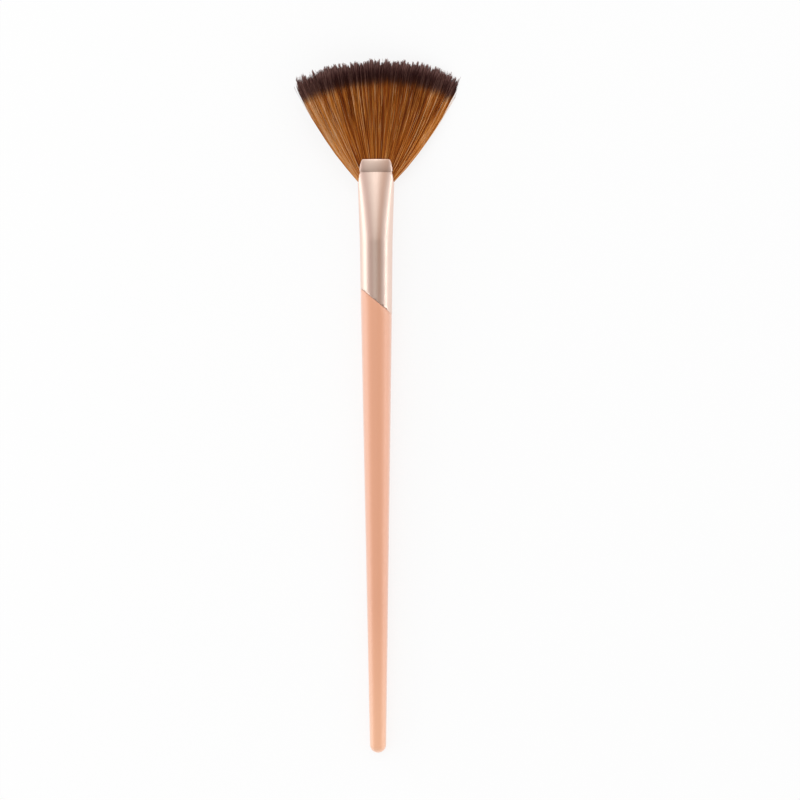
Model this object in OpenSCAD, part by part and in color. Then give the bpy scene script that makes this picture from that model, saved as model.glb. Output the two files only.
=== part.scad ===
// Fan brush for face makeup, lying on a table as it comes to rest.
// Its tail points towards -Y and its fan towards +Y. The round handle has rolled until the corner
// of the fan on the +X side met the table, so it lies on the underside of the handle and on that
// corner. The origin is on the table, under the middle of its length.
// Each piece is drawn upright, with the tail's end at z = 0, and lay_down() turns it.

/* [Handle] */
// Length of the handle, from its tail to the middle of the slanted joint
handle_l = 124; // [90:1:150]
// Diameter of the handle and of the ferrule where they meet
handle_d = 8.6; // [7.5:0.1:10]
// Diameter that the taper reaches at the tail
tail_d = 4.4; // [3:0.1:6.5]
// Slope of the joint between the ferrule and the handle, in degrees from square
joint_angle = 40; // [0:1:50]
// How far the tenon inside the ferrule stops short of the flattening
tenon_room = 1.6; // [0.5:0.1:6]
// Chamfer round the end of the tenon
tenon_chamfer = 0.6; // [0.2:0.1:1.5]

/* [Ferrule] */
// Length of the ferrule, from the middle of the joint to its lip
ferrule_l = 39; // [34:0.5:48]
// Thickness of the metal
wall = 0.35; // [0.25:0.05:0.6]
// Length of its round part, from the middle of the joint to where the flattening starts
round_l = 16.6; // [12:0.2:20]
// How much wider the round part is where the flattening starts
neck_widening = 0.4; // [0:0.1:0.5]
// Height of the crimped band under the lip
crimp_l = 3.5; // [2:0.1:5]
// Width of the flattened tube under the crimped band
crimp_w = 10.2; // [9.5:0.1:12]
// Thickness of the flattened tube under the crimped band
crimp_t = 3.6; // [3:0.1:4.5]
// Width of the lip
lip_w = 9.7; // [9:0.1:12]
// Thickness of the lip
lip_t = 3.4; // [2.8:0.1:4.5]
// Depth of the notch in each side of the mouth
notch_l = 6.6; // [4:0.1:8]
// Radius of the notch at its bottom
notch_r = 0.75; // [0.5:0.05:1]
// Width of the notch at the lip
notch_w = 3.1; // [2.2:0.1:3.3]

/* [Bristles] */
// Length of the longest bristles past the lip
bristle_l = 27.5; // [18:0.5:36]
// Length of the bristles' roots below the notches
root_l = 7; // [4:0.5:9]
// Angle at which the outermost bristles leave the notches, from the axis
flare_angle = 44; // [25:1:52]
// Angle of the outermost bristles at their tips, from the axis
tip_angle = 21; // [10:1:40]
// Thickness of the fan at its middle, where it swells past the lip
fan_t = 3.2; // [2.6:0.1:4]
// Thickness of the fan at its middle, where the tips part
tip_t = 2.2; // [1:0.1:3]
// Thickness of the fan's outer edges, as a share of its middle
edge_share = 0.3; // [0.2:0.05:0.8]
// Number of clumps that the bristles gather in
clumps = 80; // [30:1:90]
// Depth of the deepest furrows between the clumps, as a share of the fan's half thickness
furrow_share = 0.22; // [0.05:0.01:0.4]
// Length of the longest tips, from where the clumps part
parted_l = 3.6; // [1.5:0.1:6]
// How much longer the outer bristles are than the middle ones
flank_extra = 1.1; // [0:0.1:3]
// How much shorter the shortest tips are, as a share of the longest
ragged_share = 0.3; // [0:0.05:0.5]
// How much shorter the outermost tips are, as a share of the longest
corner_share = 0.3; // [0:0.05:0.4]

/* [Fit] */
// Gap between the ferrule's slanted edge and the handle's shoulder
joint_gap = 0.06; // [0.02:0.01:0.2]
// Gap between the ferrule and what is glued into it
fit_gap = 0.04; // [0.02:0.01:0.1]

/* [Hidden] */

// Sides of the turned surfaces and of the ferrule, and steps along the tail's dome
ROUND_SIDES = 96;
FERRULE_SIDES = 96;
DOME_STEPS = 14;
// How far a cut runs past what it cuts
CUT_MARGIN = 1;
// Share of the ferrule's round ends that the bundle of bristles reaches into
BUNDLE_SHARE = 0.96;
// Rings along the free fan, and how closely they crowd towards the lip
FREE_RINGS = 7;
RING_CROWDING = 1.3;
// Share of the free fan's length at which it is thickest
SWELL_SHARE = 0.3;
// Share of the free fan's length over which the furrows deepen
GROWTH_SHARE = 0.5;
// How far a furrow or ridge may stand off its even place, as a share of the step between them
WANDER_SHARE = 0.3;
// Place of a clump's waist along its tip, and what is left of its width there
WAIST_PLACE_SHARE = 0.6;
WAIST_WIDTH_SHARE = 0.6;
// How far a tip may lean out of the fan, as a share of the fan's half thickness
LEAN_SHARE = 0.3;
// How sharply the outermost tips drop away
CORNER_POWER = 8;
// Depth of the shallowest furrow, as a share of the deepest
SHALLOW_SHARE = 0.5;
// Turn in degrees a millimetre below which a bristle counts as straight
LEAST_TURN = 0.0001;
// Most that the brush may roll, and halvings that find how far it does
MOST_ROLL = 45;
ROLL_STEPS = 20;
// Start of the chance values
SEED = 5;
// Stands for open room around the bristles
NO_LIMIT = 1000;

// Half of the handle's taper, which is also the tilt of the axis as the brush lies
taper_angle = atan((handle_d - tail_d) / 2 / handle_l);

// Diameter of the ferrule where the flattening starts
neck_d = handle_d + neck_widening;

// Heights along the upright brush
neck_z = handle_l + round_l;
tenon_z = neck_z - tenon_room;
lip_z = handle_l + ferrule_l;
crimp_z = lip_z - crimp_l;
notch_z = lip_z - notch_l;
root_z = notch_z - root_l;
tip_z = lip_z + bristle_l;

// Reach of the slanted joint above and below its middle, its lowest point, and the size of the
// blocks that cut along it
joint_rise = handle_d / 2 * tan(joint_angle);
joint_low_z = handle_l - joint_rise;
cut_size = 2 * (handle_d + joint_rise + round_l);

// Lengths along the middle bristle, from the bottom of the notches to the tip and the parting
fan_l = tip_z - notch_z;
parted_s = fan_l - parted_l;

// Half of the mouth's inner thickness at the lip
lip_inner = lip_t / 2 - wall;

function blend(a, b, share) = a + (b - a) * min(1, max(0, share));

// Diameter of the ferrule's round part, which widens from the joint to the neck
function round_d(z) = handle_d + (neck_d - handle_d) * (z - handle_l) / round_l;

// The ferrule's section is two half circles of radius end_r, around points flat_x either side of
// the middle. It is round up to the neck, where flat_x is 0.
function press_share(z) = (z - neck_z) / (crimp_z - neck_z);
function lip_share(z) = (z - crimp_z) / crimp_l;
function end_r(z) = z <= neck_z ? round_d(z) / 2
    : z <= crimp_z ? blend(neck_d, crimp_t, press_share(z)) / 2
    : blend(crimp_t, lip_t, lip_share(z)) / 2;
function flat_x(z) = z <= crimp_z
    ? blend(0, crimp_w - crimp_t, press_share(z)) / 2
    : blend(crimp_w - crimp_t, lip_w - lip_t, lip_share(z)) / 2;

// One ring of the ferrule's section at height z, shrunk by inset
function section_ring(z, inset) = [
    for (i = [0 : FERRULE_SIDES - 1])
        let (
            angle = 360 * (i + 0.5) / FERRULE_SIDES,
            side = sign(cos(angle)),
            r = end_r(z) - inset
        )
        [side * flat_x(z) + r * cos(angle), r * sin(angle), z]
];

// Closed solid through rings of equal size, whose walls are flat
module skin(rings) {
    size = len(rings[0]);
    last = len(rings) - 1;
    walls = [
        for (row = [0 : last - 1], i = [0 : size - 1])
            let (
                low = row * size,
                next = (i + 1) % size
            )
            [low + i, low + size + i, low + size + next, low + next]
    ];
    bottom = [for (i = [0 : size - 1]) i];
    top = [for (i = [size - 1 : -1 : 0]) last * size + i];
    polyhedron(points = [for (ring = rings) each ring], faces = concat([bottom], walls, [top]));
}

// The ferrule's outer form, shrunk by inset, from one height to another
module tube_form(inset, low, high) {
    levels = [neck_z, crimp_z, lip_z];
    skin([
        section_ring(low, inset),
        for (z = levels) if (z > low && z < high) section_ring(z, inset),
        section_ring(high, inset)
    ]);
}

// Block whose face lies along the slanted joint at height z. It stands on that face or hangs
// from it.
module joint_block(z, stands) {
    translate([0, 0, z])
        rotate([0, joint_angle, 0])
            translate([-cut_size / 2, -cut_size / 2, stands ? 0 : -cut_size])
                cube(cut_size);
}

// Tapered rod with a dome that runs smoothly into the taper
module turned_rod(length) {
    dome_r = tail_d / 2 * cos(taper_angle) / (1 - sin(taper_angle));
    dome = [
        for (i = [0 : DOME_STEPS])
            let (angle = -90 + (90 - taper_angle) * i / DOME_STEPS)
            [dome_r * cos(angle), dome_r * (1 + sin(angle))]
    ];
    top_r = tail_d / 2 + length * tan(taper_angle);
    rotate_extrude($fn = ROUND_SIDES)
        polygon(concat(dome, [[top_r, length], [0, length]]));
}

// Straight pin with a chamfered end that fits the ferrule's bore
module tenon() {
    low = joint_low_z - CUT_MARGIN;
    tenon_d = round_d(joint_low_z) - 2 * (wall + fit_gap);
    translate([0, 0, low])
        cylinder(h = tenon_z - tenon_chamfer - low, d = tenon_d, $fn = ROUND_SIDES);
    translate([0, 0, tenon_z - tenon_chamfer])
        cylinder(
            h = tenon_chamfer,
            d1 = tenon_d,
            d2 = tenon_d - 2 * tenon_chamfer,
            $fn = ROUND_SIDES
        );
}

// Turned wood with a slanted shoulder, and a tenon that the ferrule is glued round
module handle() {
    color([0.92, 0.72, 0.6])
        lay_down() {
            difference() {
                turned_rod(handle_l + joint_rise + CUT_MARGIN);
                joint_block(handle_l, true);
            }
            tenon();
        }
}

// Half width of a side notch at height z
function notch_half(z) =
    let (rise = z - notch_z)
    rise <= 0 ? 0
    : rise < notch_r ? sqrt(pow(notch_r, 2) - pow(notch_r - rise, 2))
    : blend(notch_r, notch_w / 2, (rise - notch_r) / (notch_l - notch_r));

// Cutter for the notch in the +X side, with a round bottom and widening past the lip
module notch() {
    bottom = notch_z + notch_r;
    top_half = notch_w / 2 + (notch_w / 2 - notch_r) * CUT_MARGIN / (notch_l - notch_r);
    translate([flat_x(lip_z), 0, 0])
        rotate([90, 0, 90])
            linear_extrude(crimp_w) {
                translate([0, bottom])
                    circle(notch_r, $fn = ROUND_SIDES);
                polygon([
                    [-notch_r, bottom],
                    [notch_r, bottom],
                    [top_half, lip_z + CUT_MARGIN],
                    [-top_half, lip_z + CUT_MARGIN]
                ]);
            }
}

// Drawn tube, pressed flat at the mouth, crimped under the lip and notched in both sides
module ferrule() {
    low = joint_low_z - CUT_MARGIN;
    color([0.89, 0.76, 0.69])
        lay_down()
            difference() {
                tube_form(0, low, lip_z);
                tube_form(wall, low - CUT_MARGIN, lip_z + CUT_MARGIN);
                joint_block(handle_l + joint_gap / cos(joint_angle), false);
                notch();
                mirror([1, 0, 0])
                    notch();
            }
}

// Adhesive that joins the bristles' roots to the tenon
module resin_plug() {
    color([0.72, 0.55, 0.3])
        lay_down()
            tube_form(wall + fit_gap, tenon_z + fit_gap, root_z - fit_gap);
}

// Half width of the bundle of bristles inside the ferrule at height z
function bundle_half(z) = flat_x(z) + BUNDLE_SHARE * (end_r(z) - wall - fit_gap);

// A bristle leaves the notches at u * flare_angle and turns evenly to u * tip_angle, where u
// runs across the fan from -1 to 1. Its place after a length s lies on an arc.
function turn(u) = u * (tip_angle - flare_angle) / fan_l;
function is_straight(u) = abs(turn(u)) < LEAST_TURN;
function bristle_x(u, s) =
    let (
        start = u * flare_angle,
        across = is_straight(u)
            ? s * sin(start)
            : (cos(start) - cos(start + turn(u) * s)) * 180 / PI / turn(u)
    )
    u * bundle_half(notch_z) + across;
function bristle_z(u, s) =
    let (
        start = u * flare_angle,
        along = is_straight(u)
            ? s * cos(start)
            : (sin(start + turn(u) * s) - sin(start)) * 180 / PI / turn(u)
    )
    notch_z + along;

// Length at which a bristle passes height z
function s_at(u, z) =
    let (start = u * flare_angle)
    is_straight(u)
        ? (z - notch_z) / cos(start)
        : (asin(sin(start) + (z - notch_z) * turn(u) * PI / 180) - start) / turn(u);

// Half of the room that the ferrule leaves for the bristles at x and z, without limit outside it
function inner_half(x, z) =
    let (
        inner_r = end_r(z) - wall,
        past_flat = max(0, abs(x) - flat_x(z))
    )
    past_flat < inner_r ? sqrt(pow(inner_r, 2) - pow(past_flat, 2)) : 0;
function in_ferrule(x, z) = z <= lip_z && abs(x) < flat_x(z) + end_r(z);
function room_half(x, z) = in_ferrule(x, z)
    ? max(min(notch_half(z), lip_inner), inner_half(x, z)) - fit_gap
    : NO_LIMIT;

// Half thickness of the free fan, which swells past the lip and thins to its tips and edges
function free_share(s) = (s - notch_l) / (parted_s - notch_l);
function middle_half(s) = free_share(s) < SWELL_SHARE
    ? blend(lip_inner - fit_gap, fan_t / 2, free_share(s) / SWELL_SHARE)
    : blend(fan_t, tip_t, (free_share(s) - SWELL_SHARE) / (1 - SWELL_SHARE)) / 2;
function fan_half(u, s) = middle_half(s) * (1 - (1 - edge_share) * u * u);

// Lines run up the fan, a furrow and a ridge in turn, each a little off its even place
last_line = 2 * clumps;
wander = rands(-WANDER_SHARE, WANDER_SHARE, last_line + 1, SEED);
luck = rands(0, 1, last_line + 1, SEED + 1);
function line_u(line) =
    let (off = (line == 0 || line == last_line) ? 0 : wander[line])
    (line + off) / clumps - 1;
function line_depth(line, s) = line % 2 == 0
    ? furrow_share * blend(SHALLOW_SHARE, 1, luck[line])
        * blend(0, 1, free_share(s) / GROWTH_SHARE)
    : 0;

// Point of a line on the front of the fan, where side is -1, or on its back, where side is 1
function fan_point(line, s, side) =
    let (
        u = line_u(line),
        x = bristle_x(u, s),
        z = bristle_z(u, s),
        half = min(room_half(x, z), fan_half(u, s) * (1 - line_depth(line, s)))
    )
    [x, side * half, z];
function root_point(line, side) =
    let (x = line_u(line) * bundle_half(root_z))
    [x, side * (inner_half(x, root_z) - fit_gap), root_z];

// A ring runs along the front from -X to +X, and back along the rear. The rings in the mouth
// are level, and the free ones lie between the lip and the parting.
ring_size = 2 * (last_line + 1);
mouth_levels = [
    notch_z,
    notch_z + notch_r,
    (notch_z + notch_r + crimp_z) / 2,
    crimp_z,
    (crimp_z + lip_z) / 2,
    lip_z
];
function mouth_point(line, z, side) = fan_point(line, s_at(line_u(line), z), side);
function free_point(line, i, side) =
    let (at_lip = s_at(line_u(line), lip_z))
    fan_point(line, blend(at_lip, parted_s, pow(i / FREE_RINGS, RING_CROWDING)), side);
root_ring = [
    for (line = [0 : last_line]) root_point(line, -1),
    for (line = [last_line : -1 : 0]) root_point(line, 1)
];
function mouth_ring(z) = [
    for (line = [0 : last_line]) mouth_point(line, z, -1),
    for (line = [last_line : -1 : 0]) mouth_point(line, z, 1)
];
function free_ring(i) = [
    for (line = [0 : last_line]) free_point(line, i, -1),
    for (line = [last_line : -1 : 0]) free_point(line, i, 1)
];

// Where the fan parts, each clump between two furrows narrows to a waist and ends in a tip
function clump_u(clump) = line_u(2 * clump + 1);
function clump_l(clump) =
    let (
        u = clump_u(clump),
        share = 1 - ragged_share * luck[2 * clump + 1] - corner_share * pow(u, CORNER_POWER)
    )
    parted_l * share + flank_extra * u * u;
function clump_lean(clump) =
    LEAN_SHARE * (2 * luck[2 * clump] - 1) * fan_half(clump_u(clump), parted_s);
function waist_point(clump, line, side) =
    let (
        u = blend(clump_u(clump), line_u(line), WAIST_WIDTH_SHARE),
        s = parted_s + clump_l(clump) * WAIST_PLACE_SHARE,
        half = fan_point(line, parted_s, side)[1] * WAIST_WIDTH_SHARE
    )
    [bristle_x(u, s), half + clump_lean(clump) * WAIST_PLACE_SHARE, bristle_z(u, s)];
function tip_point(clump) =
    let (
        u = clump_u(clump),
        s = parted_s + clump_l(clump)
    )
    [bristle_x(u, s), clump_lean(clump), bristle_z(u, s)];
function clump_points(clump) = [
    for (line = [2 * clump : 2 * clump + 2]) waist_point(clump, line, -1),
    for (line = [2 * clump + 2 : -1 : 2 * clump]) waist_point(clump, line, 1),
    tip_point(clump)
];

// Two triangles between the ends of one edge and the ends of the edge above it
function facets(low_a, low_b, high_a, high_b) = [[low_a, high_a, high_b], [low_a, high_b, low_b]];

// Flat fan of filaments that springs from the mouth, furrowed into clumps with ragged tips
module bristles() {
    rings = [
        root_ring,
        for (z = mouth_levels) mouth_ring(z),
        for (i = [1 : FREE_RINGS]) free_ring(i)
    ];
    parted_at = (len(rings) - 1) * ring_size;
    clumps_at = len(rings) * ring_size;
    waist_size = 6;
    bottom = [for (i = [0 : ring_size - 1]) i];
    walls = [
        for (row = [0 : len(rings) - 2], i = [0 : ring_size - 1])
            let (
                low = row * ring_size,
                next = (i + 1) % ring_size
            )
            each facets(low + i, low + next, low + ring_size + i, low + ring_size + next)
    ];
    tips = [
        for (clump = [0 : clumps - 1])
            let (
                front = parted_at + 2 * clump,
                rear = parted_at + ring_size - 1 - 2 * clump,
                base = [front, front + 1, front + 2, rear - 2, rear - 1, rear],
                waist = clumps_at + clump * (waist_size + 1),
                tip = waist + waist_size
            )
            for (i = [0 : waist_size - 1])
                let (next = (i + 1) % waist_size)
                each concat(
                    facets(base[i], base[next], waist + i, waist + next),
                    [[waist + i, tip, waist + next]]
                )
    ];
    color([0.45, 0.24, 0.09])
        lay_down()
            polyhedron(
                points = concat(
                    [for (ring = rings) each ring],
                    [for (clump = [0 : clumps - 1]) each clump_points(clump)]
                ),
                faces = concat([bottom], walls, tips)
            );
}

// Height over the table of a point of the upright brush, once it is laid down and rolled
function laid_height(point, roll) =
    let (drop = point[0] * sin(roll) + point[1] * cos(roll))
    point[2] * sin(taper_angle) + (tail_d / 2 - drop) * cos(taper_angle);

// Roll at which the lowest tip of the fan just meets the table
outer_points = concat(
    free_ring(FREE_RINGS),
    [for (clump = [0 : clumps - 1]) each clump_points(clump)]
);
function is_clear(roll) = min([for (point = outer_points) laid_height(point, roll)]) > 0;
function find_roll(low, high, steps) =
    let (middle = (low + high) / 2)
    steps == 0 ? low
    : is_clear(middle) ? find_roll(middle, high, steps - 1)
    : find_roll(low, middle, steps - 1);
roll_angle = find_roll(0, MOST_ROLL, ROLL_STEPS);

// Lays the upright brush on the lowest line of its handle and rolls it onto the fan's corner
module lay_down() {
    translate([0, -tip_z / 2, 0])
        rotate([taper_angle, 0, 0])
            translate([0, 0, tail_d / 2])
                rotate([-90, roll_angle, 0])
                    children();
}

handle();
ferrule();
resin_plug();
bristles();
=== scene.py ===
"""Fan brush for face makeup: satin peach handle, rose gold ferrule, fan of dip-dyed filaments."""

import math

import bmesh
import bpy
from mathutils import Matrix, Vector


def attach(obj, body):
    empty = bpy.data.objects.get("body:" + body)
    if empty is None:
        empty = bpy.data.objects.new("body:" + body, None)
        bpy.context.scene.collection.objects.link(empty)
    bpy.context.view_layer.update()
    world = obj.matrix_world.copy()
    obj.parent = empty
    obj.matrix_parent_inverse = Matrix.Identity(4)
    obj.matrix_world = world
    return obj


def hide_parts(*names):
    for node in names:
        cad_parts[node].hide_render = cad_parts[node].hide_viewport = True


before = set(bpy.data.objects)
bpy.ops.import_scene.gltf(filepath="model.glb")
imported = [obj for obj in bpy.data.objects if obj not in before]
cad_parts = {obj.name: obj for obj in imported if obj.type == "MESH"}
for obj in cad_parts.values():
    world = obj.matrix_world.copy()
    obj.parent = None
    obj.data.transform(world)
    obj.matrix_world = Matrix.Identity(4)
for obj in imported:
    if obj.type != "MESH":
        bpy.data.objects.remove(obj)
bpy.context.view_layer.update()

MM = 0.001

# The brush upright, in millimetres, with the tail's end at z 0 and the front towards -y.
HANDLE_L = 124.0
HANDLE_D = 8.6
TAIL_D = 4.4
JOINT_SLOPE = math.tan(math.radians(40))
JOINT_GAP = 0.06
WALL = 0.35
NECK_Z = 140.6
NECK_D = 9.0
PRESS_CURVE = 1.3
CRIMP_Z = 159.5
CRIMP_W = 10.2
CRIMP_T = 3.6
LIP_Z = 163.0
LIP_W = 9.7
LIP_T = 3.4
BAND_BULGE = 0.1
PRESS_CROWN = 0.28
NECK_CRISP = 1.2
CRIMP_CRISP = 1.0
LIP_CRISP = 4.0
CRISP_RISE = 0.5
LIP_BULGE = 0.06
EDGE_BULGE = 0.03
NOTCH_Z = 156.4
NOTCH_R = 0.75
NOTCH_W = 3.1
TENON_Z = 139.0
TENON_R = 3.85
TENON_CHAMFER = 0.6
TIP_Z = 190.5
FLARE = math.radians(44)
TIP_FLARE = math.radians(21)
FAN_L = TIP_Z - NOTCH_Z
TAPER = math.atan((HANDLE_D - TAIL_D) / 2 / HANDLE_L)
ROLL = math.radians(13.3164)

# The eased edge of the handle's shoulder: millimetres in from the taper, and under the shoulder.
EASED_EDGE = ((0.02, 0.12), (0.06, 0.05), (0.14, 0.0))
TAPER_STOP = 0.2

# What loose filaments do that the solid fan can't: reach further and spread a little less.
LOOSE_REACH = 0.6
LOOSE_SPREAD = 0.985

# Millimetres from the mouth to the fan's thickest part and to where it starts to thin, and the
# room that the map leaves past the longest filament.
BELLY_RISE = 8
THINNING_FROM = 6
MAP_ROOM = 4

# How finely the pieces are divided and their edges worked out.
HANDLE_SIDES = 160
DOME_STEPS = 24
DOME_FLAT = 0.02
TAPER_STEPS = 60
QUARTER_COLUMNS = 64
NOTCH_CROWDING = 1.25
RIM_STEPS = 5
SLANT_TURNS = 12
NOTCH_HALVINGS = 40
MERGE_WITHIN = 0.0004

# The ferrule's rings: steps up its tube, its pressed part and its band, close at the crimp line.
TUBE_LEVELS = (HANDLE_L - 4, NECK_Z - 1.2, 24)
PRESSED_LEVELS = (NECK_Z - 1, CRIMP_Z - 0.25, 40)
CRIMP_LEVELS = (CRIMP_Z - 0.1, CRIMP_Z - 0.03, CRIMP_Z + 0.03, CRIMP_Z + 0.1)
BAND_LEVELS = (CRIMP_Z + 0.3, LIP_Z, 10)

CAMERA_PLACE = (0.00638, -1.2, 0.0969)
CAMERA_LENS = 196.5
CAMERA_ROLL = math.radians(-0.21)
FLOOR_HALF = 4.0
FLOOR_GLOW = 0.8

# Lays the upright brush on the lowest line of its handle, rolled onto the corner of its fan.
LAY_DOWN = (
    Matrix.Translation((0, -TIP_Z / 2 * MM, 0))
    @ Matrix.Rotation(TAPER, 4, "X")
    @ Matrix.Translation((0, 0, TAIL_D / 2 * MM))
    @ Matrix.Rotation(-math.pi / 2, 4, "X")
    @ Matrix.Rotation(ROLL, 4, "Z")
)
TO_TABLE = LAY_DOWN @ Matrix.Scale(MM, 4)


class Wire:
    """An output socket that takes Python's operators. Each one adds a Math node."""

    def __init__(self, tree, socket):
        self.tree, self.socket = tree, socket

    def math(self, operation, *others):
        return self.tree.make("ShaderNodeMath", {"operation": operation}, self, *others)

    def __add__(self, other):
        return self.math("ADD", other)

    def __radd__(self, other):
        return self.math("ADD", other)

    def __sub__(self, other):
        return self.math("SUBTRACT", other)

    def __rsub__(self, other):
        return self.tree.make("ShaderNodeMath", {"operation": "SUBTRACT"}, other, self)

    def __mul__(self, other):
        return self.math("MULTIPLY", other)

    def __rmul__(self, other):
        return self.math("MULTIPLY", other)

    def __truediv__(self, other):
        return self.math("DIVIDE", other)

    def __pow__(self, other):
        return self.math("POWER", other)


class Tree:
    """A node tree whose nodes are made by one method."""

    def __init__(self, tree):
        self.tree = tree

    def make(self, kind, settings=None, *values, out=0, **named):
        """A node of that kind. Settings come first, then sockets in order or by name."""
        node = self.tree.nodes.new(kind)
        for key, value in (settings or {}).items():
            if key == "stops":
                self.fill_ramp(node.color_ramp, value)
            else:
                setattr(node, key, value)
        sockets = [s for s in node.inputs if s.enabled]
        for key, value in [*enumerate(values), *named.items()]:
            socket = sockets[key] if isinstance(key, int) else self.by_name(node, key)
            if isinstance(value, Wire):
                self.tree.links.new(value.socket, socket)
            else:
                socket.default_value = value
        outputs = [s for s in node.outputs if s.enabled]
        if not outputs:
            return node
        picked = outputs[out] if isinstance(out, int) else next(s for s in outputs if s.name == out)
        return Wire(self, picked)

    @staticmethod
    def by_name(node, key):
        wanted = key.replace("_", " ").lower()
        return next(s for s in node.inputs if s.enabled and s.name.lower() == wanted)

    @staticmethod
    def fill_ramp(ramp, stops):
        while len(ramp.elements) < len(stops):
            ramp.elements.new(0.5)
        for element, (place, colour) in zip(ramp.elements, stops):
            element.position = place
            element.color = colour

    def mix(self, factor, a, b, blend="MIX"):
        kind = {"data_type": "RGBA", "blend_type": blend}
        return self.make("ShaderNodeMix", kind, factor, a, b)

    def smooth_range(self, value, low, high, start=0.0, end=1.0):
        """From start to end as the value goes from low to high, eased at both ends."""
        kind = {"interpolation_type": "SMOOTHSTEP"}
        return self.make("ShaderNodeMapRange", kind, value, low, high, start, end)

    def seen_directly(self):
        """1 for a ray from the camera, off a shiny surface or through a clear one."""
        rays = ("Is Camera Ray", "Is Glossy Ray", "Is Transmission Ray")
        camera, glossy, clear = (self.make("ShaderNodeLightPath", out=name) for name in rays)
        return camera + glossy + clear


def material(name):
    """A new material and the tree inside it, with its shader still to be made."""
    made = bpy.data.materials.new(name)
    made.use_nodes = True
    made.node_tree.nodes.clear()
    return made, Tree(made.node_tree)


def finish_material(tree, shader):
    tree.make("ShaderNodeOutputMaterial", None, shader)


def srgb(code):
    """A screen colour such as c8907a as the linear colour that shaders use."""
    parts = [int(code[i:i + 2], 16) / 255 for i in (0, 2, 4)]
    return tuple(p / 12.92 if p <= 0.04045 else ((p + 0.055) / 1.055) ** 2.4 for p in parts) + (1,)


def peach_lacquer():
    """Sprayed satin lacquer over turned wood, faintly uneven, with painted light making it paler
    towards the tail.
    """
    made, t = material("PeachLacquer")
    place = t.make("ShaderNodeTexCoord", out="Object")
    fine = t.make("ShaderNodeTexNoise", None, Vector=place, Scale=1400.0, Detail=3.0)
    broad = t.make("ShaderNodeTexNoise", None, Vector=place, Scale=90.0, Detail=2.0)
    along = t.make("ShaderNodeSeparateXYZ", None, place, out="Y")
    # Painted light: the lacquer turns paler towards the tail's end.
    painted_tail_light = t.make("ShaderNodeMapRange", None, along, From_Min=-0.055, From_Max=-0.095)
    tone = t.mix(painted_tail_light, srgb("e89a6b"), srgb("f7b282"))
    tone = t.mix(broad * 0.12, tone, srgb("da8a5e"))
    bump = t.make("ShaderNodeBump", None, Strength=0.06, Distance=0.00005, Height=fine)
    shader = t.make(
        "ShaderNodeBsdfPrincipled",
        None,
        Base_Color=tone,
        Roughness=0.46 + fine * 0.08,
        Specular_IOR_Level=0.6,
        Normal=bump,
        Coat_Weight=1.0,
        Coat_Roughness=0.42,
        Coat_IOR=2.0,
        Sheen_Weight=0.8,
        Sheen_Roughness=0.55,
    )
    finish_material(t, shader)
    return made


def rose_gold():
    """Anodised aluminium with a satin surface, drawn lengthwise."""
    made, t = material("RoseGoldAluminium")
    place = t.make("ShaderNodeTexCoord", out="Object")
    drawn = t.make("ShaderNodeMapping", None, place, Scale=(9000.0, 260.0, 9000.0))
    lines = t.make("ShaderNodeTexNoise", None, Vector=drawn, Scale=1.0, Detail=2.0)
    cloud = t.make("ShaderNodeTexNoise", None, Vector=place, Scale=220.0, Detail=2.0)
    tone = t.mix(cloud * 0.3, srgb("f3dacd"), srgb("ebcdbf"))
    bump = t.make("ShaderNodeBump", None, Strength=0.05, Distance=0.00003, Height=lines)
    shader = t.make(
        "ShaderNodeBsdfPrincipled",
        None,
        Base_Color=tone,
        Metallic=1.0,
        Roughness=0.32 + lines * 0.08,
        Normal=bump,
    )
    finish_material(t, shader)
    return made


def dipped_filament():
    """Synthetic filament, brown with a dark dipped end. The map holds tone and place along it."""
    made, t = material("DippedFilament")
    spot = t.make("ShaderNodeUVMap", {"uv_map": "OFBake"})
    tone = t.make("ShaderNodeSeparateXYZ", None, spot, out="X")
    along = t.make("ShaderNodeSeparateXYZ", None, spot, out="Y")
    # Brown tones across the map; the palest stops are painted sheen on the filaments.
    body = t.make(
        "ShaderNodeValToRGB",
        {
            "stops": [
                (0.0, srgb("662b04")),
                (0.3, srgb("9a480c")),
                (0.52, srgb("bc691a")),
                (0.75, srgb("d98a38")),
                (0.9, srgb("e09c54")),
                (1.0, srgb("e9bd90")),
            ]
        },
        tone,
    )
    dye = t.make(
        "ShaderNodeValToRGB",
        {
            "stops": [
                (0.0, srgb("9c7a74")),
                (0.035, srgb("7c5853")),
                (0.06, srgb("4f2c29")),
                (0.085, srgb("371613")),
                (0.12, srgb("3b170e")),
                (0.155, srgb("54280c")),
                (0.19, srgb("824210")),
            ]
        },
        along,
    )
    dye = t.mix(t.smooth_range(tone, 0.45, 0.95, end=0.55), dye, srgb("8c655a"))
    colour = t.mix(t.smooth_range(along, 0.205, 0.13), body, dye)
    shader = t.make(
        "ShaderNodeBsdfPrincipled",
        None,
        Base_Color=colour,
        Roughness=0.45,
        Specular_IOR_Level=0.15,
    )
    finish_material(t, shader)
    return made


def amber_resin():
    """Cured adhesive, slightly uneven."""
    made, t = material("AmberResin")
    place = t.make("ShaderNodeTexCoord", out="Object")
    cloud = t.make("ShaderNodeTexNoise", None, Vector=place, Scale=500.0, Detail=2.0)
    tone = t.mix(cloud, srgb("b98a4a"), srgb("d9b070"))
    shader = t.make(
        "ShaderNodeBsdfPrincipled", None, Base_Color=tone, Roughness=0.25 + cloud * 0.2
    )
    finish_material(t, shader)
    return made


def add_object(name, data):
    """A new object in the scene that holds that data."""
    made = bpy.data.objects.new(name, data)
    bpy.context.scene.collection.objects.link(made)
    return made


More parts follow.
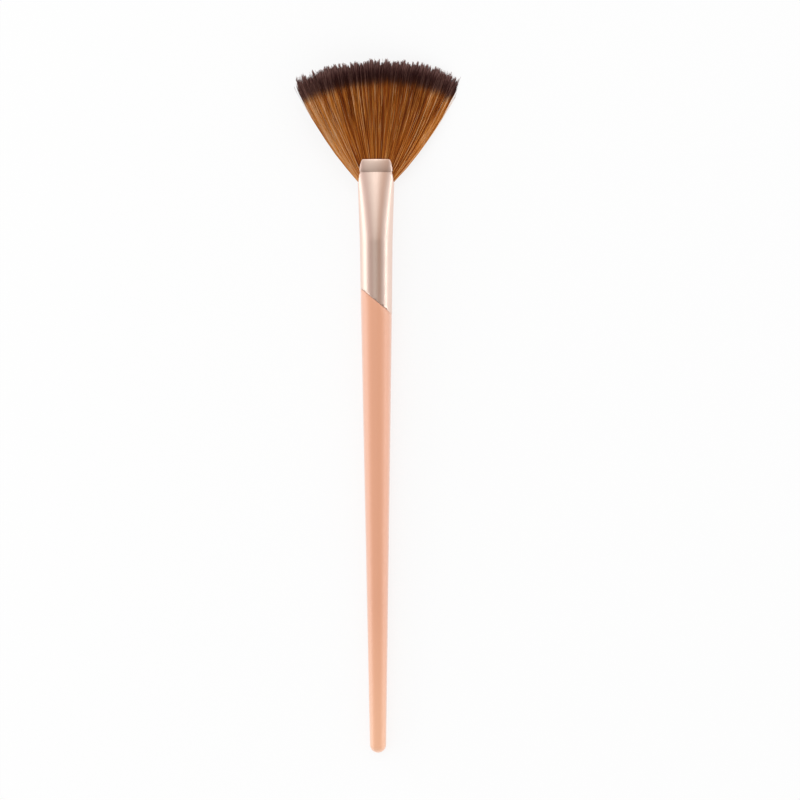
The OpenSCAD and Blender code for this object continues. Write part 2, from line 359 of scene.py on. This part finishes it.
def skin(name, rings, finish, closed=False):
    """A smooth piece through rings of equal size, capped at both ends or closed into a loop."""
    mesh = bmesh.new()
    rows = [[mesh.verts.new(p) for p in ring] for ring in rings]
    count = len(rings[0])
    pairs = list(zip(rows, rows[1:]))
    if closed:
        pairs.append((rows[-1], rows[0]))
    for low, high in pairs:
        for i in range(count):
            j = (i + 1) % count
            mesh.faces.new((low[i], low[j], high[j], high[i]))
    if not closed:
        mesh.faces.new(rows[0][::-1])
        mesh.faces.new(rows[-1])
    bmesh.ops.remove_doubles(mesh, verts=mesh.verts, dist=MERGE_WITHIN)
    bmesh.ops.recalc_face_normals(mesh, faces=mesh.faces)
    for face in mesh.faces:
        face.smooth = True
    data = bpy.data.meshes.new(name)
    mesh.to_mesh(data)
    mesh.free()
    data.transform(TO_TABLE)
    data.materials.append(finish)
    return add_object(name, data)


def place_piece(piece, node):
    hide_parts(node)
    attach(piece, "root")


def circle(radius, z, count):
    return [
        Vector((radius * math.cos(a), radius * math.sin(a), z))
        for a in (math.tau * i / count for i in range(count))
    ]


def handle_radius(z):
    return TAIL_D / 2 + z * math.tan(TAPER)


def make_handle():
    sides = HANDLE_SIDES
    dome_r = TAIL_D / 2 * math.cos(TAPER) / (1 - math.sin(TAPER))
    rings = [circle(dome_r * DOME_FLAT, 0, sides)]
    for i in range(1, DOME_STEPS + 1):
        a = -math.pi / 2 + (math.pi / 2 - TAPER) * i / DOME_STEPS
        rings.append(circle(dome_r * math.cos(a), dome_r * (1 + math.sin(a)), sides))

    def shoulder(point):
        """Height of the slanted shoulder over a point of the section."""
        return HANDLE_L - point.x * JOINT_SLOPE

    def on_taper(angle, below):
        """Height on the taper at which it comes that far below the slanted shoulder."""
        z = HANDLE_L
        for _ in range(SLANT_TURNS):
            z = HANDLE_L - handle_radius(z) * math.cos(angle) * JOINT_SLOPE - below
        return z

    for k in range(1, TAPER_STEPS + 1):
        ring = []
        for i in range(sides):
            a = math.tau * i / sides
            z = dome_r + (on_taper(a, TAPER_STOP) - dome_r) * k / TAPER_STEPS
            r = handle_radius(z)
            ring.append(Vector((r * math.cos(a), r * math.sin(a), z)))
        rings.append(ring)
    for inward, below in EASED_EDGE:
        ring = []
        for i in range(sides):
            a = math.tau * i / sides
            r = handle_radius(on_taper(a, below)) - inward
            x, y = r * math.cos(a), r * math.sin(a)
            ring.append(Vector((x, y, HANDLE_L - x * JOINT_SLOPE - below)))
        rings.append(ring)
    rings.append([p + Vector((0, 0, shoulder(p) - p.z)) for p in circle(TENON_R, 0, sides)])
    rings.append(circle(TENON_R, TENON_Z - TENON_CHAMFER, sides))
    rings.append(circle(TENON_R - TENON_CHAMFER, TENON_Z, sides))
    place_piece(skin("Handle", rings, peach_lacquer()), "handle")


def lerp(a, b, share):
    """From a to b as the share goes from 0 to 1, and no further."""
    return a + (b - a) * min(1, max(0, share))


def spread(low, high, steps):
    """Even steps from low to high, with both ends."""
    return [lerp(low, high, i / steps) for i in range(steps + 1)]


def end_r(z):
    """Radius of the half circles at the two ends of the ferrule's section."""
    if z <= NECK_Z:
        return (HANDLE_D + (NECK_D - HANDLE_D) * (z - HANDLE_L) / (NECK_Z - HANDLE_L)) / 2
    if z <= CRIMP_Z:
        return lerp(NECK_D, CRIMP_T, ((z - NECK_Z) / (CRIMP_Z - NECK_Z)) ** PRESS_CURVE) / 2
    share = (z - CRIMP_Z) / (LIP_Z - CRIMP_Z)
    return lerp(CRIMP_T, LIP_T, share) / 2 + 4 * BAND_BULGE * share * (1 - share)


def flat_x(z):
    """Half width of the flats between those half circles."""
    if z <= NECK_Z:
        return 0.0
    if z <= CRIMP_Z:
        return lerp(NECK_D, CRIMP_W, (z - NECK_Z) / (CRIMP_Z - NECK_Z)) / 2 - end_r(z)
    return lerp(CRIMP_W, LIP_W, (z - CRIMP_Z) / (LIP_Z - CRIMP_Z)) / 2 - end_r(z)


def notch_half(z):
    """Half width of the notches at a height, round at the bottom and straight above."""
    rise = z - NOTCH_Z
    if rise <= 0:
        return 0.0
    if rise < NOTCH_R:
        return math.sqrt(NOTCH_R ** 2 - (NOTCH_R - rise) ** 2)
    return lerp(NOTCH_R, NOTCH_W / 2, (rise - NOTCH_R) / (LIP_Z - NOTCH_Z - NOTCH_R))


def ferrule_columns():
    """Angles round the section, closest together where the notches bottom out."""
    columns = []
    for side in (0, math.pi):
        for i in range(-QUARTER_COLUMNS, QUARTER_COLUMNS):
            share = i / QUARTER_COLUMNS
            turn = math.copysign(abs(share) ** NOTCH_CROWDING, share)
            columns.append(side + math.pi / 2 * turn)
    return sorted(set(round(angle % math.tau, 9) for angle in columns))


def crispness(z):
    """How sharply the pressed sides turn into the ends: softly up to the crimp, then sharper."""
    if z <= CRIMP_Z:
        return lerp(NECK_CRISP, CRIMP_CRISP, (z - NECK_Z) / (CRIMP_Z - NECK_Z))
    return lerp(CRIMP_CRISP, LIP_CRISP, ((z - CRIMP_Z) / (LIP_Z - CRIMP_Z)) ** CRISP_RISE)


def crown(z):
    """How far the middle of a pressed side stands out over its ends."""
    return lerp(0, PRESS_CROWN, (z - NECK_Z) / (CRIMP_Z - NECK_Z))


def section_point(angle, z, inset):
    """A point of the ferrule's section, that far in from its outside."""
    r = end_r(z) - inset
    crisp = crispness(z)
    side = math.tanh(crisp * math.cos(angle)) / math.tanh(crisp)
    rise = r + crown(z) * (1 - side * side)
    return Vector((side * flat_x(z) + r * math.cos(angle), rise * math.sin(angle), z))


def column_top(angle):
    """Where a column ends: at the lip, or at a notch's edge."""
    def open_by(z):
        return notch_half(z) - abs(end_r(z) * math.sin(angle))
    if open_by(LIP_Z) <= 0:
        return LIP_Z
    low, high = NOTCH_Z, LIP_Z
    for _ in range(NOTCH_HALVINGS):
        middle = (low + high) / 2
        low, high = (middle, high) if open_by(middle) < 0 else (low, middle)
    return high


def column_bottom(angle):
    """Where a column starts: at the slanted edge, a clearance above the handle's shoulder."""
    gap = JOINT_GAP / math.cos(math.atan(JOINT_SLOPE))
    z = HANDLE_L
    for _ in range(SLANT_TURNS):
        z = HANDLE_L + gap - section_point(angle, z, 0).x * JOINT_SLOPE
    return z


def make_ferrule():
    columns = ferrule_columns()
    count = len(columns)
    tops = [column_top(a) for a in columns]
    bottoms = [column_bottom(a) for a in columns]
    levels = spread(*TUBE_LEVELS) + spread(*PRESSED_LEVELS)
    levels += [*CRIMP_LEVELS, *spread(*BAND_LEVELS)]

    def wall_ring(z, inset):
        return [
            section_point(a, min(max(z, bottoms[i]), tops[i]), inset)
            for i, a in enumerate(columns)
        ]

    def rim(ends, inset_from, inset_to, bulge, upward):
        """Rings round the cut edge, from one face of the wall to the other."""
        edge = [section_point(a, ends[i], 0) for i, a in enumerate(columns)]
        rings = []
        for k in range(1, RIM_STEPS):
            turn = math.pi * k / RIM_STEPS
            ring = []
            for i, point in enumerate(edge):
                along = edge[(i + 1) % count] - edge[i - 1]
                outward = (point - section_point(columns[i], ends[i], 1)).normalized()
                away = along.cross(outward).normalized()
                if (away.z > 0) != upward:
                    away = -away
                depth = lerp(inset_from, inset_to, (1 - math.cos(turn)) / 2)
                ring.append(point - outward * depth + away * bulge * math.sin(turn))
            rings.append(ring)
        return rings

    rings = [wall_ring(z, 0) for z in levels]
    rings += rim(tops, 0, WALL, LIP_BULGE, True)
    rings += [wall_ring(z, WALL) for z in reversed(levels)]
    rings += rim(bottoms, WALL, 0, EDGE_BULGE, False)
    place_piece(skin("Ferrule", rings, rose_gold(), closed=True), "ferrule")


def filament_tree():
    """Filaments that spring from the mouth, spread along arcs and gather in ragged clumps."""
    tree = bpy.data.node_groups.new("FanOfFilaments", "GeometryNodeTree")
    face = tree.interface
    face.new_socket("Geometry", in_out="OUTPUT", socket_type="NodeSocketGeometry")
    inputs = {
        "Count": ("Int", 3150),
        "Seed": ("Int", 1),
        "Steps": ("Int", 11),
        "Fan Length": ("Float", FAN_L + LOOSE_REACH),
        "Root Length": ("Float", 3.0),
        "Flare": ("Float", FLARE * LOOSE_SPREAD),
        "Tip Flare": ("Float", TIP_FLARE * LOOSE_SPREAD),
        "Mouth Half Width": ("Float", 4.52),
        "Mouth Half Thickness": ("Float", 1.28),
        "Belly Half Thickness": ("Float", 1.6),
        "Tip Half Thickness": ("Float", 1.1),
        "Edge Share": ("Float", 0.3),
        "Layer Front": ("Float", -1.0),
        "Layer Rear": ("Float", 1.0),
        "Filament Radius": ("Float", 0.045),
        "Tip Slimming": ("Float", 0.9),
        "Tip Crowding": ("Float", 1.6),
        "Flank Extra": ("Float", 1.1),
        "Corner Drop": ("Float", 0.3),
        "Uneven Reach": ("Float", 0.8),
        "Sideways Lean": ("Float", 0.42),
        "Broad Wave": ("Float", 0.035),
        "Fine Wave": ("Float", 0.026),
        "Crossing": ("Float", 0.022),
        "Stray Reach": ("Float", 0.04),
        "Tip Frizz": ("Float", 0.35),
        "Corner Ragged": ("Float", 2.4),
        "Ragged": ("Float", 1.05),
        "Clump Ragged": ("Float", 1.2),
        "Clump Point": ("Float", 2.0),
        "Half Clumps": ("Float", 38.0),
        "Clump Wander": ("Float", 2.0),
        "Parted Length": ("Float", 5.0),
        "Table Up": ("Vector", Vector(TO_TABLE[2][:3]) / MM),
        "Table Height": ("Float", TO_TABLE[2][3] / MM),
        "Stray Share": ("Float", 0.06),
        "Body Tone": ("Float", 0.36),
        "Luck Tone": ("Float", 0.5),
        "Pale Tone": ("Float", 0.4),
        "Stray Tone": ("Float", 0.4),
        "Finish": ("Material", None),
    }
    for name, (kind, value) in inputs.items():
        made = face.new_socket(name, in_out="INPUT", socket_type="NodeSocket" + kind)
        if value is not None:
            made.default_value = value
    t = Tree(tree)
    group = tree.nodes.new("NodeGroupInput")
    given = {s.name: Wire(t, s) for s in group.outputs if s.name}

    def chance(low, high, offset):
        """A random value from low to high, from its own seed."""
        kind = {"data_type": "FLOAT"}
        seed = given["Seed"] + offset
        return t.make("FunctionNodeRandomValue", kind, Min=low, Max=high, Seed=seed)

    def keep(geometry, name, value):
        kind = {"data_type": "FLOAT", "domain": "POINT"}
        return t.make(
            "GeometryNodeStoreNamedAttribute", kind, Geometry=geometry, Name=name, Value=value
        )

    def read(name):
        return t.make("GeometryNodeInputNamedAttribute", {"data_type": "FLOAT"}, name)

    def noise(across_scale, along=0.0):
        """Even noise over the fan, from -0.5 to 0.5, that is the same in every layer."""
        spot = t.make("ShaderNodeCombineXYZ", None, across * across_scale, along, across_scale)
        return t.make("ShaderNodeTexNoise", None, Vector=spot, Scale=1.0, Detail=1.0) - 0.5

    # One point for each filament, with its place across the fan, its layer and its luck.
    points = t.make("GeometryNodePoints", None, Count=given["Count"])
    points = keep(points, "across", chance(-1.0, 1.0, 0))
    points = keep(points, "layer", chance(given["Layer Front"], given["Layer Rear"], 11))
    points = keep(points, "luck", chance(0.0, 1.0, 23))
    points = keep(points, "lean", chance(-1.0, 1.0, 37))
    is_stray = given["Stray Share"].math("GREATER_THAN", chance(0.0, 1.0, 53))
    points = keep(points, "stray", is_stray)
    line = t.make("GeometryNodeCurvePrimitiveLine")
    line = t.make("GeometryNodeResampleCurve", None, Curve=line, Count=given["Steps"])
    strands = t.make("GeometryNodeInstanceOnPoints", None, Points=points, Instance=line)
    strands = t.make("GeometryNodeRealizeInstances", None, strands)
    across, layer, luck = read("across"), read("layer"), read("luck")
    lean, stray = read("lean"), read("stray")
    square = across * across

    # The first step is the root. The others lie closer and closer towards the tip.
    step = t.make("GeometryNodeSplineParameter", out="Index")
    sunk = (step.math("MINIMUM", 1.0) - 1) * given["Root Length"]
    gone = (step - 1).math("MAXIMUM", 0.0) / (given["Steps"] - 2)
    share = 1 - (1 - gone) ** given["Tip Crowding"]

    # The clump that the filament belongs to, and how far it stands from the clump's middle.
    wander = noise(20.0) * given["Clump Wander"]
    cell = (across * given["Half Clumps"] + wander).math("ROUND")
    centre = (cell - wander) / given["Half Clumps"]
    off = (across - centre).math("ABSOLUTE") * given["Half Clumps"] * 2
    clump_luck = t.make("ShaderNodeTexWhiteNoise", {"noise_dimensions": "1D"}, W=cell, out="Value")

    # Longer at the flanks, shorter at the corners, by luck and towards the clump's sides.
    reach = (
        given["Fan Length"]
        + given["Flank Extra"] * square
        - given["Corner Drop"] * across ** 8.0
        + given["Uneven Reach"] * across * (1 - square)
    )
    full = (
        reach
        - (given["Ragged"] + given["Corner Ragged"] * square * square) * luck ** 0.5
        - given["Clump Ragged"] * clump_luck
        - given["Clump Point"] * off ** 1.5
    )
    free = share * full

    # Parted into clumps near the tips, and a little wavy and crossed all the way.
    parted = t.smooth_range(free, reach - given["Parted Length"], reach)
    gather = parted * (0.45 + 0.35 * clump_luck + 0.2 * luck)
    wave = noise(26.0, share * 2.5) * given["Broad Wave"]
    wave = wave + noise(90.0, share * 6.0) * given["Fine Wave"]
    loose = across + lean * given["Crossing"] * share
    strayed = lean * stray * share ** 4.0 * (1 - 0.3 * square) * given["Stray Reach"]
    place = loose + (centre - loose) * gather + wave * share + strayed

    # Arc from the flare at the mouth to the smaller flare at the tip, by the arc's chord.
    turn = place * (given["Tip Flare"] - given["Flare"]) / given["Fan Length"] * free * 0.5
    chord = free * (1 - turn * turn / 6)
    heading = place * given["Flare"] + turn
    x = place * given["Mouth Half Width"] + chord * heading.math("SINE")
    x = x + given["Sideways Lean"] * share ** 0.5
    z = NOTCH_Z + sunk + chord * heading.math("COSINE")

    # The mouth's thickness, then a belly past the lip, then thinner to the tips and the flanks.
    mouth = LIP_Z - NOTCH_Z
    thick_in, thick_out = given["Mouth Half Thickness"], given["Belly Half Thickness"]
    belly = t.smooth_range(free, mouth, mouth + BELLY_RISE, thick_in, thick_out)
    thinning = t.smooth_range(free, mouth + THINNING_FROM, given["Fan Length"])
    thick = belly + (given["Tip Half Thickness"] - thick_out) * thinning
    flank = 1 - (1 - given["Edge Share"]) * square
    y = (layer * thick + lean * share ** 2.0 * given["Tip Frizz"]) * flank
    spot = t.make("ShaderNodeCombineXYZ", None, x, y, z)

    # What would hang under the table rests on it.
    height = t.make("ShaderNodeVectorMath", {"operation": "DOT_PRODUCT"}, spot, given["Table Up"])
    lift = (given["Filament Radius"] - height - given["Table Height"]).math("MAXIMUM", 0.0)
    lifted = t.make("ShaderNodeVectorMath", {"operation": "SCALE"}, given["Table Up"], Scale=lift)
    spot = t.make("ShaderNodeVectorMath", {"operation": "ADD"}, spot, lifted)
    strands = t.make("GeometryNodeSetPosition", None, Geometry=strands, Position=spot)

    # Tone for the map: streaks at four scales, part real tone and part painted sheen that fades in
    # and out along the filaments, lighter flanks and a few pale filaments.
    streaks_and_sheen = (
        noise(9.0) * 0.5
        + noise(36.0, share * 1.2) * 0.6
        + noise(85.0, share * 2.0) * 1.7
        + noise(190.0, share * 3.0) * 2.1
    )
    flanks = t.smooth_range(across, -0.4, -0.9, end=0.42)
    flanks = flanks + t.smooth_range(across, 0.5, 0.95, end=0.16)
    tone = (
        given["Body Tone"]
        + streaks_and_sheen
        + (luck - 0.5) * given["Luck Tone"]
        + luck ** 8.0 * given["Pale Tone"]
        + flanks
        + stray * given["Stray Tone"]
    )
    strands = keep(strands, "tone", tone.math("MINIMUM", 1.0).math("MAXIMUM", 0.0))

    # Place for the map: how far back from the fan's edge, with an uneven dip line.
    uneven = noise(60.0) * 0.1 + lean * 0.02 - square * 0.012 - 0.006
    map_length = given["Fan Length"] + given["Root Length"] + MAP_ROOM
    from_edge = (reach - free - sunk) / map_length + uneven
    strands = keep(strands, "from_edge", from_edge.math("MINIMUM", 0.99).math("MAXIMUM", 0.01))

    # Tapered tubes, whose outline keeps its place round the filament for the map.
    slim = 1 - given["Tip Slimming"] * share ** 5.0
    strands = t.make("GeometryNodeSetCurveRadius", None, Curve=strands, Radius=slim)
    outline = t.make(
        "GeometryNodeCurvePrimitiveCircle",
        {"mode": "RADIUS"},
        Resolution=3,
        Radius=given["Filament Radius"],
    )
    outline = keep(outline, "around", t.make("GeometryNodeSplineParameter", out="Factor"))
    tubes = t.make(
        "GeometryNodeCurveToMesh", None, Curve=strands, Profile_Curve=outline, Fill_Caps=True
    )
    tubes = t.make("GeometryNodeSetShadeSmooth", None, Geometry=tubes)

    # On the map tone runs across and place runs up. The sides of a tube lie a little apart.
    shade = read("tone") * 0.97 + read("around") * 0.006 + 0.01
    chart = t.make("ShaderNodeCombineXYZ", None, shade, read("from_edge"), 0.0)
    tubes = t.make(
        "GeometryNodeStoreNamedAttribute",
        {"data_type": "FLOAT2", "domain": "CORNER"},
        Geometry=tubes,
        Name="OFBake",
        Value=chart,
    )
    tubes = t.make("GeometryNodeRealizeInstances", None, tubes)
    tubes = t.make("GeometryNodeSetMaterial", None, Geometry=tubes, Material=given["Finish"])
    t.make("NodeGroupOutput", None, tubes)
    return tree


def make_bristles():
    """The fan in four layers from front to rear, each a plain mesh of whole filaments."""
    tree = filament_tree()
    finish = dipped_filament()
    keys = {s.name: s.identifier for s in tree.interface.items_tree if s.in_out == "INPUT"}
    layers = {
        "BristlesFront": (-1.0, -0.5, 3150),
        "BristlesFrontCore": (-0.5, 0.0, 2700),
        "BristlesRearCore": (0.0, 0.5, 2700),
        "BristlesRear": (0.5, 1.0, 3150),
    }
    for seed, (name, (front, rear, count)) in enumerate(layers.items(), 1):
        source = add_object(name + "Source", bpy.data.meshes.new(name + "Source"))
        grow = source.modifiers.new("Grow", "NODES")
        grow.node_group = tree
        settings = {
            "Layer Front": front,
            "Layer Rear": rear,
            "Count": count,
            "Seed": seed,
            "Finish": finish,
        }
        for key, value in settings.items():
            grow[keys[key]] = value
        seen = source.evaluated_get(bpy.context.evaluated_depsgraph_get())
        data = bpy.data.meshes.new_from_object(seen)
        bpy.data.objects.remove(source)
        data.transform(TO_TABLE)
        data.name = name
        piece = add_object(name, data)
        print(name, len(data.loop_triangles), "triangles")
        place_piece(piece, "bristles")


def dress_resin():
    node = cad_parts["resin_plug"]
    node.material_slots[0].material = amber_resin()


def make_floor():
    made, t = material("WhiteFloor")
    plain = t.make("ShaderNodeBsdfDiffuse", None, Color=(0.92, 0.92, 0.92, 1))
    glow = t.make("ShaderNodeEmission", None, Color=(1, 1, 1, 1), Strength=1.0)
    shown = t.make("ShaderNodeMixShader", None, t.seen_directly() * FLOOR_GLOW, plain, glow)
    finish_material(t, shown)
    data = bpy.data.meshes.new("Floor")
    corners = [(x * FLOOR_HALF, y * FLOOR_HALF, 0) for x, y in ((-1, -1), (1, -1), (1, 1), (-1, 1))]
    data.from_pydata(corners, [], [(0, 1, 2, 3)])
    data.materials.append(made)
    floor = add_object("Floor", data)


def make_world():
    world = bpy.data.worlds.new("Studio")
    bpy.context.scene.world = world
    world.use_nodes = True
    world.node_tree.nodes.clear()
    t = Tree(world.node_tree)
    direction = t.make("ShaderNodeTexCoord", out="Generated")
    sideways = t.make("ShaderNodeSeparateXYZ", None, direction, out="X")
    lengthwise = t.make("ShaderNodeSeparateXYZ", None, direction, out="Y")
    grey = (1.0, 1.0, 1.0)
    rosy = (1.0, 0.82, 0.78)
    sand = (1.0, 0.98, 0.93)
    warm = (1.0, 0.68, 0.52)
    cool = (0.93, 1.0, 1.04)

    # Each stop is a place from -1 to 1, a brightness and a tint.
    across = (
        (-1.0, 1.0, grey), (-0.78, 1.0, grey), (-0.6, 0.8, rosy), (-0.34, 0.54, rosy),
        (-0.02, 0.9, sand), (0.3, 0.64, sand), (0.48, 0.58, warm), (0.68, 0.46, warm),
        (0.84, 0.86, grey), (1.0, 1.0, grey),
    )
    along = (
        (-1.0, 0.64, grey), (-0.45, 0.42, grey), (-0.2, 0.44, grey), (-0.06, 0.66, grey),
        (0.0, 0.82, grey), (0.1, 0.84, grey), (0.24, 0.76, grey), (0.3, 0.9, grey),
        (0.34, 1.4, cool), (0.5, 1.6, cool), (0.8, 1.1, grey),
    )

    def ramp(value, tones):
        stops = [
            ((place + 1) / 2, (*(level * part for part in tint), 1.0))
            for place, level, tint in tones
        ]
        return t.make("ShaderNodeValToRGB", {"stops": stops}, value * 0.5 + 0.5)

    shade = t.mix(1.0, ramp(sideways, across), ramp(lengthwise, along), blend="MULTIPLY")
    ambient = t.make("ShaderNodeBackground", None, Color=(1, 1, 1, 1), Strength=0.92)
    backdrop = t.make("ShaderNodeBackground", None, Color=shade, Strength=1.0)
    shown = t.make("ShaderNodeMixShader", None, t.seen_directly(), ambient, backdrop)
    t.make("ShaderNodeOutputWorld", None, shown)


def softbox(name, place, target, size, power):
    """A rectangular lamp, in metres and watts, that faces its target and stays out of sight."""
    data = bpy.data.lights.new(name, "AREA")
    data.shape = "RECTANGLE"
    data.size, data.size_y = size
    data.energy = power
    lamp = add_object(name, data)
    lamp.location = place
    lamp.rotation_euler = (Vector(target) - Vector(place)).to_track_quat("-Z", "X").to_euler()
    lamp.visible_camera = False


def make_lights():
    softbox("LeftBox", place=(-0.5, 0.02, 0.14), target=(0, 0.02, 0), size=(0.28, 0.8), power=0.76)
    softbox("RightBox", place=(0.5, 0.02, 0.03), target=(0, 0.02, 0), size=(0.06, 0.8), power=0.44)
    softbox("FanBox", place=(0.2, 0.62, 0.86), target=(0, 0.06, 0), size=(0.22, 0.22), power=0.6)


def make_camera():
    """A camera square to the fan's flat side, turned a little as the photo's is."""
    data = bpy.data.cameras.new("Camera")
    data.sensor_width = 36
    data.lens = CAMERA_LENS
    data.clip_end = 10
    camera = add_object("Camera", data)
    camera.matrix_world = (
        LAY_DOWN
        @ Matrix.Translation(CAMERA_PLACE)
        @ Matrix.Rotation(math.pi / 2, 4, "X")
        @ Matrix.Rotation(CAMERA_ROLL, 4, "Z")
    )
    bpy.context.scene.camera = camera


make_camera()
make_handle()
make_ferrule()
make_bristles()
dress_resin()
make_floor()
make_world()
make_lights()

bpy.context.scene.view_settings.view_transform = "Standard"
